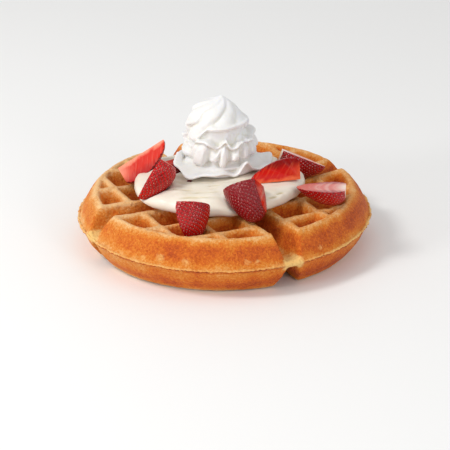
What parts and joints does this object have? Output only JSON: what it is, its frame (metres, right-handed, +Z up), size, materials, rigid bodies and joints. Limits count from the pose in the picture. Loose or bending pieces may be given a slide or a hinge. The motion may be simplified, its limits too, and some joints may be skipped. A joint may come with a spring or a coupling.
{
  "type": "waffle",
  "caption": "Round deep-pocketed waffle topped with a pool of cream, a whipped-cream swirl and cut strawberries.",
  "frame": {"origin": "on the surface that the waffle lies on, under the middle of the waffle", "axes": "+Z up out of the pocketed top; +X to the right and -Y towards the viewer of the picture; the lattice is turned 26.6 degrees from them about Z"},
  "size_m": [0.18, 0.18, 0.0896],
  "materials": {
    "waffle": "baked golden-brown batter, dry, darker in the pockets",
    "cream": "soft off-white cream with a faint sheen",
    "whipped_cream": "bright white piped cream",
    "strawberry": "moist red fruit with pale seeds and paler cut faces"
  },
  "bodies": {
    "root": {"waffle": "waffle", "cream": "cream", "whipped_cream": "whipped_cream", "strawberry_1": "strawberry", "strawberry_2": "strawberry", "strawberry_3": "strawberry", "strawberry_4": "strawberry", "strawberry_5": "strawberry", "strawberry_6": "strawberry", "strawberry_7": "strawberry", "strawberry_8": "strawberry"}
  },
  "joints": []
}
